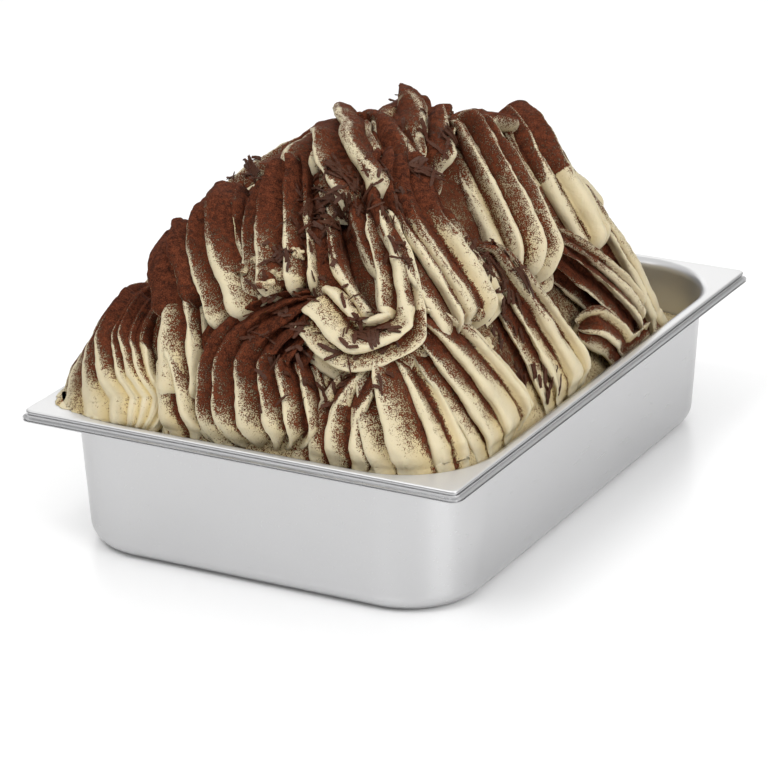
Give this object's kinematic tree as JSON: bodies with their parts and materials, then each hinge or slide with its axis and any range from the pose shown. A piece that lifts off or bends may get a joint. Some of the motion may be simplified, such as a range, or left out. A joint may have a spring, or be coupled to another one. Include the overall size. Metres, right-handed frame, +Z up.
{
  "type": "gelato pan",
  "caption": "Rectangular steel display pan with a flat rim, heaped high with cream gelato in ridged spatula lobes, dusted with cocoa and topped with chocolate shavings.",
  "frame": {"origin": "centre of the bounding box's bottom face, under the middle of the pan on the surface that it stands on", "axes": "+X along the pan's short side, +Y along its long side towards the end with the free corner, +Z up"},
  "size_m": [0.254, 0.364, 0.2209],
  "materials": {
    "steel": "satin pressed stainless steel",
    "gelato": "frozen cream with a soft sheen, dusted with matte cocoa"
  },
  "bodies": {
    "root": {"pan": "steel", "gelato": "gelato"}
  },
  "joints": []
}
